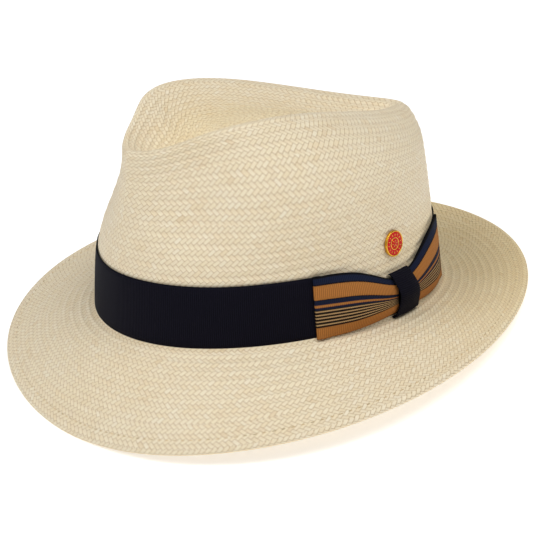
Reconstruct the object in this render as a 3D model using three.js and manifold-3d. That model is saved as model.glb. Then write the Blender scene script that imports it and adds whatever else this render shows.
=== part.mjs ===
// A woven straw fedora: a teardrop crown with two front pinches, a snap brim with a turned and wired hem,
// a grosgrain hatband with a two-loop bow, a leather sweatband inside, and an enamel pin with its clutch.
// Millimetres. The hat is first laid out in its own frame, with the break between crown and brim near
// z = 0, the front at -Y and the wearer's left at +X; a group then tips it to lie on a table.

import * as THREE from 'three';
import { NURBSCurve } from 'three/addons/curves/NURBSCurve.js';
import { ParametricGeometry } from 'three/addons/geometries/ParametricGeometry.js';
import { mergeVertices } from 'three/addons/utils/BufferGeometryUtils.js';
import Module from 'manifold-3d';

const wasm = await Module();
wasm.setup();

const degrees = THREE.MathUtils.degToRad;

// ---- Driving dimensions -------------------------------------------------------------------------

// Heights and widths that change around the head are sums c0 + c1 cos t + c2 cos 2t + c3 cos 3t, where
// t is the angle from the front, growing towards the wearer's left.
const HALF_LENGTH = 101;
const HALF_WIDTH = 84;
const BREAK_HEIGHT = [-3.1, 4.2, -0.8, -0.5];

// The crown's control rings, from the brim break up over the ridge and down to the middle of the dent.
// egg makes a ring blunt in front and narrow behind; shift moves it back.
const RIDGE_SHAPE = [14.4, -8.5, -3.3];
const CROWN_RINGS = [
  { halfLength: HALF_LENGTH, halfWidth: HALF_WIDTH, egg: 0, shift: 0, height: BREAK_HEIGHT },
  { halfLength: 99, halfWidth: 81, egg: 0, shift: 0.5, height: [35, 1.3, -0.2, 0] },
  { halfLength: 93.5, halfWidth: 77, egg: 0, shift: 3.5, height: [74, 5.3, -2.7, 0] },
  { halfLength: 96, halfWidth: 56.4, egg: 0, shift: 8.5, height: [87.2, ...RIDGE_SHAPE] },
  { halfLength: 94.8, halfWidth: 38.9, egg: 0.62, shift: 7.4, height: [102.8, ...RIDGE_SHAPE] },
  { halfLength: 73.5, halfWidth: 22, egg: 0.67, shift: -2, height: [88.2, ...RIDGE_SHAPE] },
  { halfLength: 32, halfWidth: 12, egg: 0, shift: -12, height: [95, -4, 0, 0] },
  { halfLength: 0, halfWidth: 0, egg: 0, shift: -12, height: [97, 0, 0, 0] },
];

// The two finger pinches beside the front of the crown.
const PINCH = { depth: 10, angle: degrees(32), spread: degrees(24), startHeight: 54.5, softness: 7.5 };
const PINCH_FADE = { from: 30, over: 30 };

const BRIM_WIDTH = [54.7, 1.3, -6.3, -4.7];
const BRIM_EDGE_HEIGHT = [-18.5, -16.3, -5.8, -0.8];
const BRIM_CURVE = 1.3;
const REAR_DIP = 6;

const STRAW = 1.5;
const HEM = { ply: 1, gap: 1.4, width: 6.5 };
const EDGE_ROUND = (STRAW + HEM.gap + HEM.ply) / 2;
const CLEARANCE = 0.3;
const WIRE_RADIUS = 0.4;
const THREAD_RADIUS = 0.25;

const BAND = { lift: 0.9, height: 33.8, thickness: 0.7, waist: 15, waistSpread: degrees(13) };
const RIBBON = 0.6;
const KNOT_ANGLE = degrees(107);
const KNOT = { width: 17.8, flare: 4.5, height: 24.3, bulge: 7.6 };
const LOOP = { length: 53, lift: 0.3, waistLift: 2.2, fold: 1.5, edgeHug: 0.75, frontPuff: 5.6, rearPuff: 6.6 };

const SWEATBAND = { lift: 1.3, height: 33, thickness: 1, gap: 0.5 };
const REED_RADIUS = 0.9;
const LABEL = { angle: degrees(197), width: 24, height: 13, lift: 12, thickness: 0.4 };
const REAR_BOW = { width: 18, height: 10, lift: 6, thickness: 0.8 };
const REAR_TAPE = { width: 10, height: 29, lift: 5, thickness: 0.4 };

const BADGE = { angle: degrees(106), height: 40, radius: 7.2, thickness: 1.6, rim: 0.8, recess: 0.6 };
const POST = { radius: 0.6, length: 9.2 };
const CLUTCH = { radius: 5.4, height: 3.4, wall: 0.5, bore: 0.95, standOff: 0.8 };

const TACK_ANGLES = { front: degrees(4), right: degrees(-88), left: degrees(58), rear: degrees(184) };

const REST_PITCH = degrees(5.85);
const LAND_DEPTH = 0.5;

const COLUMNS = 48;
const CROWN_ROWS = 15;
const BRIM_ROWS = 5;
const BREAK_AT = 0.3;

// ---- The straw surface --------------------------------------------------------------------------

function aroundHead(terms, t) {
  return terms.reduce((sum, term, k) => sum + term * Math.cos(k * t), 0);
}

const CUBIC = 3;
const INNER_KNOTS = CROWN_RINGS.length - CUBIC;
const KNOTS = [
  ...Array(CUBIC).fill(0),
  ...Array.from({ length: INNER_KNOTS + 1 }, (_, k) => k / INNER_KNOTS),
  ...Array(CUBIC).fill(1),
];

function pinched(point, t) {
  const angle = Math.abs(Math.atan2(Math.sin(t), Math.cos(t)));
  const beside = Math.exp(-(((angle - PINCH.angle) / PINCH.spread) ** 2));
  const above = 1 / (1 + Math.exp(-(point.z - PINCH.startHeight) / PINCH.softness));
  const radius = Math.hypot(point.x, point.y);
  const fade = THREE.MathUtils.clamp((radius - PINCH_FADE.from) / PINCH_FADE.over, 0, 1);
  const keep = 1 - (PINCH.depth * beside * above * fade) / Math.max(radius, 1);
  return new THREE.Vector3(point.x * keep, point.y * keep, point.z);
}

// v runs from the brim break, 0, over the ridge to the middle of the dent, 1.
function crownPoint(t, v) {
  const controls = CROWN_RINGS.map((ring) => {
    const x = ring.halfWidth * Math.sin(t) * (1 + ring.egg * Math.cos(t));
    const y = ring.shift - ring.halfLength * Math.cos(t);
    return new THREE.Vector4(x, y, aroundHead(ring.height, t), 1);
  });
  return pinched(new NURBSCurve(CUBIC, KNOTS, controls).getPoint(v), t);
}

// s runs from the break, 0, to the brim's edge, 1.
function brimPoint(t, s) {
  const reach = aroundHead(BRIM_WIDTH, t) * s;
  const dip = (REAR_DIP * Math.sin(Math.PI * s) * (1 - Math.cos(t))) / 2;
  const fall = aroundHead(BREAK_HEIGHT, t) * (1 - s) + aroundHead(BRIM_EDGE_HEIGHT, t) * s ** BRIM_CURVE;
  return new THREE.Vector3(
    (HALF_WIDTH + reach) * Math.sin(t),
    -(HALF_LENGTH + reach) * Math.cos(t),
    fall - dip,
  );
}

const EDGE_AT = 1 - EDGE_ROUND / BRIM_WIDTH[0];

// m runs along one meridian of the whole hat: brim edge 0, break BREAK_AT, middle of the dent 1.
function strawPoint(t, m) {
  if (m < BREAK_AT) return brimPoint(t, (1 - m / BREAK_AT) * EDGE_AT);
  return crownPoint(t, (m - BREAK_AT) / (1 - BREAK_AT));
}

// The unit vectors at one point of a surface: normal points out of the hat, inward points along the
// meridian from the brim's edge towards the crown's middle.
function surfaceFrame(surface, t, m, step, low = 0, high = 1) {
  const turn = 0.01;
  const across = surface(t + turn, m).sub(surface(t - turn, m));
  const inward = surface(t, Math.min(m + step, high)).sub(surface(t, Math.max(m - step, low)));
  const normal = new THREE.Vector3().crossVectors(across, inward).normalize();
  return { normal, inward: inward.normalize() };
}

function strawFrame(t, m) {
  if (m > 0.999) return { normal: new THREE.Vector3(0, 0, 1), inward: new THREE.Vector3(0, 1, 0) };
  return surfaceFrame(strawPoint, t, m, 0.012);
}

// A point beside the straw: outward moves it past the brim's edge, depth moves it under the outer face.
function besideStraw(t, m, outward, depth) {
  const { normal, inward } = strawFrame(t, m);
  return strawPoint(t, m).addScaledVector(inward, -outward).addScaledVector(normal, -depth);
}

// A point beside the crown's wall: rise is its height over the break line, out its distance off the face.
function besideWall(t, rise, out) {
  const target = aroundHead(BREAK_HEIGHT, t) + Math.max(rise, 0);
  let low = 0;
  let high = 0.45;
  for (let k = 0; k < 30; k += 1) {
    const middle = (low + high) / 2;
    if (crownPoint(t, middle).z < target) low = middle;
    else high = middle;
  }
  const { normal } = surfaceFrame(crownPoint, t, high, 0.01);
  const point = crownPoint(t, high).addScaledVector(normal, out);
  point.z += Math.min(rise, 0);
  return point;
}

// Millimetres along the break line for each radian of t, near angle t.
function arcPerRadian(t) {
  return Math.hypot(HALF_WIDTH * Math.cos(t), HALF_LENGTH * Math.sin(t));
}

// ---- Turning point functions into solids ---------------------------------------------------------

function signedVolume(geometry) {
  const { position } = geometry.attributes;
  const corners = [new THREE.Vector3(), new THREE.Vector3(), new THREE.Vector3()];
  let sum = 0;
  for (let k = 0; k < geometry.index.count; k += 3) {
    corners.forEach((corner, n) => corner.fromBufferAttribute(position, geometry.index.getX(k + n)));
    sum += corners[0].dot(corners[1].clone().cross(corners[2]));
  }
  return sum / 6;
}

// Shared vertices are merged, empty triangles dropped and the faces turned to point out.
function welded(source) {
  const raw = source.clone();
  raw.deleteAttribute('normal');
  raw.deleteAttribute('uv');
  const geometry = mergeVertices(raw, 1e-4);
  const kept = [];
  for (let k = 0; k < geometry.index.count; k += 3) {
    const [a, b, c] = [0, 1, 2].map((n) => geometry.index.getX(k + n));
    if (a !== b && b !== c && c !== a) kept.push(a, b, c);
  }
  geometry.setIndex(kept);
  if (signedVolume(geometry) < 0) geometry.setIndex(kept.reverse());
  geometry.computeVertexNormals();
  return geometry;
}

// A closed ring round the hat: section(t, k) gives corner k of its cross-section at angle t.
function ring(section, corners, columns = COLUMNS) {
  const place = (u, v, target) => {
    const corner = Math.round(v * corners) % corners;
    target.copy(section(2 * Math.PI * (Math.round(u * columns) % columns) / columns, corner));
  };
  return welded(new ParametricGeometry(place, columns, corners));
}

// A bent slab: place(u, v, w) puts the unit cube's point, with u, v and w from 0 to 1, on the hat.
function slab(place, columns, rows) {
  const geometry = welded(new THREE.BoxGeometry(1, 1, 1, columns, rows, 1));
  const { position } = geometry.attributes;
  for (let k = 0; k < position.count; k += 1) {
    const point = place(position.getX(k) + 0.5, position.getY(k) + 0.5, position.getZ(k) + 0.5);
    position.setXYZ(k, point.x, point.y, point.z);
  }
  return welded(geometry);
}

function solidOf(geometry) {
  const vertProperties = new Float32Array(geometry.attributes.position.array);
  const triVerts = new Uint32Array(geometry.index.array);
  return new wasm.Manifold(new wasm.Mesh({ numProp: 3, vertProperties, triVerts }));
}

function geometryOf(solid) {
  const mesh = solid.getMesh();
  const geometry = new THREE.BufferGeometry();
  geometry.setAttribute('position', new THREE.BufferAttribute(mesh.vertProperties, mesh.numProp));
  geometry.setIndex(new THREE.BufferAttribute(mesh.triVerts, 1));
  return welded(geometry);
}

function turned(profile, segments = 20) {
  return welded(new THREE.LatheGeometry(profile.map(([r, y]) => new THREE.Vector2(r, y)), segments));
}

// ---- Materials ------------------------------------------------------------------------------------

const material = (color, roughness, metalness = 0) =>
  new THREE.MeshStandardMaterial({ color, roughness, metalness });

const straw = material('#e3cfa6', 0.75);
const navyGrosgrain = material('#11131f', 0.8);
const stripedRibbon = material('#a8713a', 0.75);
const leather = material('#8a5a34', 0.6);
const steel = material('#b4b6b8', 0.35, 1);
const thread = material('#d8c7a0', 0.9);
const darkThread = material('#1a1c28', 0.9);
const plasticReed = material('#e8e4da', 0.5);
const brass = material('#d0a545', 0.3, 1);
const enamel = material('#b5161c', 0.15);
const labelCloth = material('#f1ece0', 0.9);

const hat = new THREE.Group();

function add(parent, name, geometry, finish) {
  const mesh = new THREE.Mesh(geometry, finish);
  mesh.name = name;
  parent.add(mesh);
  return mesh;
}

// ---- Straw body: crown, brim and turned hem in one woven piece --------------------------------------

const HEM_AT = BREAK_AT * (HEM.width - EDGE_ROUND) / (BRIM_WIDTH[0] * EDGE_AT);

function strawSection() {
  const outer = [];
  for (let k = 0; k <= CROWN_ROWS; k += 1) outer.push(1 - (1 - BREAK_AT) * (k / CROWN_ROWS));
  for (let k = 1; k <= BRIM_ROWS; k += 1) outer.push(BREAK_AT + (HEM_AT - BREAK_AT) * (k / BRIM_ROWS));
  const section = [...outer, 0].map((m) => [m, 0, 0]);
  for (const turn of [45, 90, 135].map(degrees)) {
    section.push([0, EDGE_ROUND * Math.sin(turn), EDGE_ROUND * (1 - Math.cos(turn))]);
  }
  const underside = STRAW + HEM.gap + HEM.ply;
  section.push([0, 0, underside], [HEM_AT, 0, underside]);
  section.push([HEM_AT, 0, STRAW + HEM.gap], [0, 0, STRAW + HEM.gap]);
  section.push([0, HEM.gap / 2, STRAW + HEM.gap / 2], [0, 0, STRAW]);
  section.push(...outer.reverse().map((m) => [m, 0, STRAW]));
  return section;
}

function strawShell() {
  const section = strawSection();
  const rows = section.length - 1;
  const place = (u, v, target) => {
    const [m, outward, depth] = section[Math.round(v * rows)];
    const t = 2 * Math.PI * (Math.round(u * COLUMNS) % COLUMNS) / COLUMNS;
    target.copy(besideStraw(t, m, outward, depth));
  };
  return welded(new ParametricGeometry(place, COLUMNS, rows));
}

// The pin's own frame: +Z points out of the crown, and z = 0 is its seat just off the straw.
const pin = new THREE.Group();
const pinSeat = besideWall(BADGE.angle, BADGE.height, CLEARANCE);
const pinAxis = besideWall(BADGE.angle, BADGE.height, 1 + CLEARANCE).sub(pinSeat).normalize();
pin.position.copy(pinSeat);
pin.quaternion.setFromUnitVectors(new THREE.Vector3(0, 0, 1), pinAxis);
pin.updateMatrix();

// Where the hat lies on a table: nose up by REST_PITCH, its box centred over the origin.
const wholeShell = strawShell();
hat.rotation.x = -REST_PITCH;
hat.updateMatrix();
const restingBox = new THREE.Box3().setFromBufferAttribute(
  wholeShell.clone().applyMatrix4(hat.matrix).attributes.position,
);
const restingCentre = restingBox.getCenter(new THREE.Vector3());
hat.position.set(-restingCentre.x, -restingCentre.y, -restingBox.min.z - LAND_DEPTH);
hat.updateMatrix();

function tableBelow() {
  const size = 500;
  const table = new THREE.BoxGeometry(size, size, size);
  table.translate(0, 0, -size / 2);
  return solidOf(welded(table.applyMatrix4(hat.matrix.clone().invert())));
}

function postHole() {
  const hole = new THREE.CylinderGeometry(CLUTCH.bore, CLUTCH.bore, 4 * STRAW, 12);
  hole.rotateX(Math.PI / 2);
  return solidOf(welded(hole.applyMatrix4(pin.matrix)));
}

const strawBody = solidOf(wholeShell).subtract(tableBelow()).subtract(postHole());
add(hat, 'straw_body', geometryOf(strawBody), straw);

// ---- Brim wire and hem thread ----------------------------------------------------------------------

function tubeBesideStraw(m, outward, depth, radius, sides) {
  return ring((t, k) => {
    const turn = (2 * Math.PI * k) / sides;
    return besideStraw(t, m, outward + radius * Math.cos(turn), depth + radius * Math.sin(turn));
  }, sides);
}

const wireInset = -0.6;
add(hat, 'brim_wire', tubeBesideStraw(0, wireInset, STRAW + HEM.gap / 2, WIRE_RADIUS, 6), steel);
const hemThreadInset = -(CLEARANCE + THREAD_RADIUS);
const hemThreadDepth = STRAW + CLEARANCE + THREAD_RADIUS;
add(
  hat,
  'brim_hem_thread',
  tubeBesideStraw(HEM_AT, hemThreadInset, hemThreadDepth, THREAD_RADIUS, 5),
  thread,
);

// ---- Hatband ---------------------------------------------------------------------------------------

// The knot gathers the band and the loops to a waist: 1 under the knot, 0 well away from it.
function gathered(t) {
  const away = Math.atan2(Math.sin(t - KNOT_ANGLE), Math.cos(t - KNOT_ANGLE));
  return Math.exp(-((away / BAND.waistSpread) ** 2));
}

// A strip laid round the wall, its two ends meeting with a small gap at angle jointAngle.
function wallStrip(jointAngle, lift, heightAt, inside, thickness, columns, rows) {
  const halfGap = CLEARANCE / HALF_LENGTH;
  return slab((u, v, w) => {
    const t = jointAngle + halfGap + u * (2 * Math.PI - 2 * halfGap);
    return besideWall(t, lift + v * heightAt(t), inside + w * thickness);
  }, columns, rows);
}

const bandHeight = (t) => BAND.height - BAND.waist * gathered(t);
const hatband = wallStrip(KNOT_ANGLE, BAND.lift, bandHeight, CLEARANCE, BAND.thickness, 60, 3);
add(hat, 'hatband', hatband, navyGrosgrain);

// A stitch that holds the band's top edge to the straw.
function tack(angle) {
  const route = new THREE.CatmullRomCurve3([
    new THREE.Vector3(BAND.lift + BAND.height + 1.6, CLEARANCE + 0.2),
    new THREE.Vector3(BAND.lift + BAND.height + 0.9, CLEARANCE + 1),
    new THREE.Vector3(BAND.lift + BAND.height - 1.2, 2 * CLEARANCE + BAND.thickness + 0.25),
  ]);
  const halfWidth = THREAD_RADIUS / arcPerRadian(angle);
  return slab((u, v, w) => {
    const point = route.getPoint(u);
    return besideWall(angle + (2 * v - 1) * halfWidth, point.x, point.y + (w - 0.5) * 2 * THREAD_RADIUS);
  }, 4, 1);
}

for (const [side, angle] of Object.entries(TACK_ANGLES)) {
  add(hat, `hatband_tack_${side}`, tack(angle), darkThread);
}

// ---- Bow -------------------------------------------------------------------------------------------

const BOW_FLOOR = BAND.thickness + 2 * CLEARANCE + RIBBON / 2;

// A loop's puffed layer bows out along the middle of the ribbon and hugs the band at both edges.
function hugging(out, v) {
  const flat = Math.min(out, BOW_FLOOR + LOOP.fold);
  return flat + (out - flat) * (1 - LOOP.edgeHug * Math.abs(2 * v - 1) ** 2);
}

// One loop of ribbon: out from the knot along the band, round a flat fold, and back over itself.
// side is -1 for the loop towards the front and 1 for the one towards the rear.
function bowLoop(side, puff) {
  const near = KNOT.width / 2 - 3;
  const route = new THREE.CatmullRomCurve3([
    new THREE.Vector3(near, BOW_FLOOR),
    new THREE.Vector3(near + 0.5 * LOOP.length, BOW_FLOOR),
    new THREE.Vector3(near + LOOP.length - 2.5, BOW_FLOOR),
    new THREE.Vector3(near + LOOP.length - 0.3, BOW_FLOOR + LOOP.fold / 2),
    new THREE.Vector3(near + LOOP.length - 2.5, BOW_FLOOR + LOOP.fold),
    new THREE.Vector3(near + 0.6 * LOOP.length, BOW_FLOOR + 0.7 * puff),
    new THREE.Vector3(near + 0.3 * LOOP.length, BOW_FLOOR + 0.75 * puff),
    new THREE.Vector3(near, KNOT.bulge - RIBBON - 2 * CLEARANCE - 1.2),
  ]);
  return slab((u, v, w) => {
    const point = route.getPoint(u);
    const tangent = route.getTangent(u);
    const along = point.x - tangent.y * (w - 0.5) * RIBBON;
    const out = hugging(point.y + tangent.x * (w - 0.5) * RIBBON, v);
    const t = KNOT_ANGLE + (side * along) / arcPerRadian(KNOT_ANGLE + (side * along) / (2 * HALF_LENGTH));
    const bottom = LOOP.lift + LOOP.waistLift * gathered(t);
    const top = BAND.lift + bandHeight(t);
    return besideWall(t, THREE.MathUtils.lerp(bottom, top, v), out);
  }, 22, 3);
}

add(hat, 'bow_front_loop', bowLoop(-1, LOOP.frontPuff), stripedRibbon);
add(hat, 'bow_rear_loop', bowLoop(1, LOOP.rearPuff), stripedRibbon);

// The knot's ribbon goes over the gathered loops and tucks in above and below the band. It flares downwards.
function bowKnot() {
  const { height, bulge } = KNOT;
  const tuck = CLEARANCE + RIBBON / 2 + 0.3;
  const route = new THREE.CatmullRomCurve3([
    new THREE.Vector3(height, tuck),
    new THREE.Vector3(height + 0.3, 0.3 * bulge),
    new THREE.Vector3(height - 2, 0.62 * bulge),
    new THREE.Vector3(height / 2, bulge + 0.3),
    new THREE.Vector3(2.5, 0.68 * bulge),
    new THREE.Vector3(0, 0.38 * bulge),
    new THREE.Vector3(0.3, tuck),
  ]);
  return slab((u, v, w) => {
    const point = route.getPoint(u);
    const tangent = route.getTangent(u);
    const rise = point.x - tangent.y * (w - 0.5) * RIBBON;
    const out = point.y + tangent.x * (w - 0.5) * RIBBON;
    const width = KNOT.width + KNOT.flare * (0.5 - rise / height);
    return besideWall(KNOT_ANGLE + ((v - 0.5) * width) / arcPerRadian(KNOT_ANGLE), rise, out);
  }, 18, 3);
}

add(hat, 'bow_knot', bowKnot(), navyGrosgrain);

// ---- Sweatband -------------------------------------------------------------------------------------

const REAR = Math.PI;
const SWEATBAND_FACE = -(STRAW + SWEATBAND.gap);
const INNER_FACE = SWEATBAND_FACE - SWEATBAND.thickness;

const sweatband = wallStrip(
  REAR,
  SWEATBAND.lift,
  () => SWEATBAND.height,
  INNER_FACE,
  SWEATBAND.thickness,
  COLUMNS,
  1,
);
add(hat, 'sweatband', sweatband, leather);

function tubeBesideWall(rise, out, radius, sides) {
  return ring((t, k) => {
    const turn = (2 * Math.PI * k) / sides;
    const point = besideWall(t, 0, out + radius * Math.cos(turn));
    point.z += rise + radius * Math.sin(turn);
    return point;
  }, sides);
}

const reedRise = SWEATBAND.lift - CLEARANCE - REED_RADIUS;
add(hat, 'sweatband_reed', tubeBesideWall(reedRise, INNER_FACE, REED_RADIUS, 8), plasticReed);

const seamRise = SWEATBAND.lift + 2.5;
const seamOut = INNER_FACE - CLEARANCE - THREAD_RADIUS - 0.2;
add(hat, 'sweatband_thread', tubeBesideWall(seamRise, seamOut, THREAD_RADIUS, 5), thread);

// A flat patch on the inside of the sweatband. shape(u) narrows its height along its length.
function innerPatch({ angle, width, height, lift, thickness }, out, shape = () => 1) {
  return slab((u, v, w) => {
    const t = angle + ((u - 0.5) * width) / arcPerRadian(angle);
    const rise = lift + height * (0.5 + (v - 0.5) * shape(u));
    return besideWall(t, rise, out - w * thickness);
  }, 6, 1);
}

const tapeOut = INNER_FACE - 2 * CLEARANCE;
add(hat, 'sweatband_rear_tape', innerPatch({ angle: REAR, ...REAR_TAPE }, tapeOut), leather);
const bowShape = (u) => 0.35 + 0.65 * Math.abs(2 * u - 1);
const rearBowOut = tapeOut - REAR_TAPE.thickness - CLEARANCE;
add(
  hat,
  'sweatband_rear_bow',
  innerPatch({ angle: REAR, ...REAR_BOW }, rearBowOut, bowShape),
  navyGrosgrain,
);
add(hat, 'size_label', innerPatch(LABEL, tapeOut), labelCloth);

// ---- Pin -------------------------------------------------------------------------------------------

const pinFace = BADGE.thickness;
const pinFloor = pinFace - BADGE.recess;
const rimInside = BADGE.radius - BADGE.rim;
const RIDGE = { inner: 2.9, outer: 3.5 };
const seatedPost = -POST.length;

// Lathe profiles are drawn as radius and height, then turned from +Y to the pin's +Z.
const badgeBase = turned([
  [0, seatedPost], [0.35, seatedPost], [POST.radius, seatedPost + 0.8], [POST.radius, 0],
  [BADGE.radius - 0.3, 0], [BADGE.radius, 0.3], [BADGE.radius, pinFace - 0.2], [BADGE.radius - 0.2, pinFace],
  [rimInside, pinFace], [rimInside, pinFloor], [RIDGE.outer, pinFloor], [RIDGE.outer, pinFace],
  [RIDGE.inner, pinFace], [RIDGE.inner, pinFloor], [0, pinFloor],
], 28);
badgeBase.rotateX(Math.PI / 2);
add(pin, 'badge_base', badgeBase, brass);

const ENAMEL_GAP = 0.12;
const enamelTop = pinFace - 0.1;
const enamelBottom = pinFloor + ENAMEL_GAP;
const enamelRing = turned([
  [RIDGE.outer + ENAMEL_GAP, enamelBottom], [rimInside - ENAMEL_GAP, enamelBottom],
  [rimInside - ENAMEL_GAP, enamelTop], [RIDGE.outer + ENAMEL_GAP, enamelTop],
  [RIDGE.outer + ENAMEL_GAP, enamelBottom],
], 28);
enamelRing.rotateX(Math.PI / 2);
add(pin, 'badge_enamel_ring', enamelRing, enamel);

const enamelCentre = turned([
  [0, enamelBottom], [RIDGE.inner - ENAMEL_GAP, enamelBottom], [RIDGE.inner - ENAMEL_GAP, enamelTop],
  [0, enamelTop],
], 20);
enamelCentre.rotateX(Math.PI / 2);
add(pin, 'badge_enamel_centre', enamelCentre, enamel);

const clutchTop = -(CLEARANCE + STRAW + CLUTCH.standOff);
const clutchBottom = clutchTop - CLUTCH.height;
const clutchShell = turned([
  [CLUTCH.bore, clutchTop], [CLUTCH.radius - 0.3, clutchTop], [CLUTCH.radius, clutchTop - 0.3],
  [CLUTCH.radius, clutchBottom], [CLUTCH.radius - CLUTCH.wall, clutchBottom],
  [CLUTCH.radius - CLUTCH.wall, clutchTop - CLUTCH.wall], [CLUTCH.bore, clutchTop - CLUTCH.wall],
  [CLUTCH.bore, clutchTop],
], 24);
clutchShell.rotateX(Math.PI / 2);
add(pin, 'clutch_shell', clutchShell, brass);

// The clutch's squeeze spring: a plate with two wings, standing in the shell round the post.
function clutchSpring() {
  const length = 2 * (CLUTCH.radius - CLUTCH.wall) - 2;
  const plate = new THREE.Shape();
  plate.moveTo(-length / 2, -2);
  plate.lineTo(length / 2, -2);
  plate.lineTo(length / 2, 2);
  plate.lineTo(-length / 2, 2);
  plate.closePath();
  plate.holes.push(new THREE.Path().absarc(0, 0, CLUTCH.bore, 0, 2 * Math.PI, true));
  const spring = new THREE.ExtrudeGeometry(plate, { depth: 0.5, bevelEnabled: false, curveSegments: 8 });
  spring.translate(0, 0, clutchTop - CLUTCH.wall - CLEARANCE - 0.5);
  return welded(spring);
}

add(pin, 'clutch_spring', clutchSpring(), steel);
hat.add(pin);

const fedora = new THREE.Group();
fedora.add(hat);

export default fedora;
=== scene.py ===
import math

import bpy
import numpy as np
from mathutils import Matrix, Vector


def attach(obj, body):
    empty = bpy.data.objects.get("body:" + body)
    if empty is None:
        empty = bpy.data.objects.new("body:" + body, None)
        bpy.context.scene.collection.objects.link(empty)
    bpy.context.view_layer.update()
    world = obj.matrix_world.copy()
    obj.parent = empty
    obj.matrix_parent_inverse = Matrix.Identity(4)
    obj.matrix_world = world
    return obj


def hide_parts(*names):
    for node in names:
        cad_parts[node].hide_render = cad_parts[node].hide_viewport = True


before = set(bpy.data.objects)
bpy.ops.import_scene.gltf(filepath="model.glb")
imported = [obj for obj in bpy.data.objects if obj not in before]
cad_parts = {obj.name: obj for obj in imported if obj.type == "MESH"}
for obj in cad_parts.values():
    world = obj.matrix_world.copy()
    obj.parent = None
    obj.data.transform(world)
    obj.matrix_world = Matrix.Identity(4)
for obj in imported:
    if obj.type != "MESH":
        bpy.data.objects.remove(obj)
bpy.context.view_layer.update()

MM = 0.001
TAU = 2 * math.pi


def rad(degrees):
    return math.radians(degrees)


# ---- Driving dimensions, in millimetres ------------------------------------------------------
# The hat's own frame has its front at -Y, the wearer's left at +X and the brim break near z = 0.
# Angles t go round the head from the front towards the wearer's left. The heights of the break,
# ridge and brim edge, and the brim's width, are terms of cosine series in t.

HALF_LENGTH = 101.0
HALF_WIDTH = 84.0
BREAK_HEIGHT = (-3.1, 4.2, -0.8, -0.5)
RIDGE_SHAPE = (14.4, -8.5, -3.3)
# Each ring: half length, half width, egg, shift back, height terms.
CROWN_RINGS = (
    (HALF_LENGTH, HALF_WIDTH, 0.0, 0.0, BREAK_HEIGHT),
    (99.0, 81.0, 0.0, 0.5, (35.0, 1.3, -0.2, 0.0)),
    (93.5, 77.0, 0.0, 3.5, (74.0, 5.3, -2.7, 0.0)),
    (96.0, 56.4, 0.0, 8.5, (87.2, *RIDGE_SHAPE)),
    (94.8, 38.9, 0.62, 7.4, (102.8, *RIDGE_SHAPE)),
    (73.5, 22.0, 0.67, -2.0, (88.2, *RIDGE_SHAPE)),
    (32.0, 12.0, 0.0, -12.0, (95.0, -4.0, 0.0, 0.0)),
    (0.0, 0.0, 0.0, -12.0, (97.0, 0.0, 0.0, 0.0)),
)
PINCH_DEPTH, PINCH_ANGLE, PINCH_SPREAD = 10.0, rad(32), rad(24)
PINCH_START, PINCH_SOFTNESS = 54.5, 7.5
PINCH_FADE_FROM, PINCH_FADE_OVER = 30.0, 30.0

BRIM_WIDTH = (54.7, 1.3, -6.3, -4.7)
BRIM_EDGE_HEIGHT = (-18.5, -16.3, -5.8, -0.8)
BRIM_CURVE = 1.3
REAR_DIP = 6.0

STRAW = 1.5
HEM_PLY, HEM_GAP, HEM_WIDTH = 1.0, 1.4, 6.5
EDGE_ROUND = (STRAW + HEM_GAP + HEM_PLY) / 2
EDGE_AT = 1 - EDGE_ROUND / BRIM_WIDTH[0]
# Meridian values m: 0 at the brim's edge, BREAK_AT at the break, 1 in the middle of the dent.
BREAK_AT, BREAK_SOFTNESS = 0.3, 0.008
HEM_AT = BREAK_AT * (HEM_WIDTH - EDGE_ROUND) / (BRIM_WIDTH[0] * EDGE_AT)
HEM_STITCHES = 190

# OUT is how far a ribbon's middle lies from the crown's face, LIFT how high over the break line.
BAND_LIFT, BAND_HEIGHT, BAND_WAIST = 0.9, 33.8, 15.0
BAND_TOP = BAND_LIFT + BAND_HEIGHT
BAND_OUT, BAND_THICKNESS = 0.62, 0.55
WAIST_SPREAD = rad(14.8)
KNOT_ANGLE = rad(107)
KNOT_WIDTH, KNOT_FLARE, KNOT_HEIGHT, KNOT_BULGE = 17.8, 4.5, 24.3, 7.6
KNOT_TUCK, KNOT_THICKNESS = 3.0, 0.5
LOOP_LENGTH, LOOP_THICKNESS = 53.0, 0.42
# The hatband, the loop's lower layer and the gap between them.
LOOP_OUT = 0.7 + 0.6 + 0.3
LOOP_LIFT, LOOP_WAIST_LIFT, LOOP_FOLD, LOOP_EDGE_HUG = 0.3, 2.2, 1.1, 0.92
TACKS = {"front": 4, "right": -88, "left": 58, "rear": 184}

SWEATBAND_LIFT, SWEATBAND_HEIGHT, SWEATBAND_THICKNESS = 1.3, 33.0, 0.8
SWEATBAND_MIDDLE, SWEATBAND_INSIDE = -2.5, -3.0
SEAM_LIFT, SEAM_STITCHES = SWEATBAND_LIFT + 2.5, 168
REED_RISE, REED_RADIUS = 0.1, 0.9
JOIN_HALF_GAP = 0.3 / HALF_LENGTH

# The pin's own heights count from its seat, BADGE_OUT from the crown's face.
BADGE_ANGLE, BADGE_HEIGHT, BADGE_OUT = rad(106), 40.0, 0.3
BADGE_RADIUS, BADGE_FACE, BADGE_RIM, BADGE_FLOOR = 7.2, 1.6, 0.8, 1.0
RING_RADIUS = 3.2
POST_RADIUS, POST_LENGTH = 0.6, 9.2
CLUTCH_RADIUS, CLUTCH_HEIGHT, CLUTCH_WALL, CLUTCH_BORE = 5.4, 3.4, 0.5, 0.95
CLUTCH_STAND_OFF = 0.8

REST_PITCH = rad(-5.85)
REST_SHIFT = (0.0, -1.709, 27.436)

# ---- Camera ----------------------------------------------------------------------------------

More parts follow.
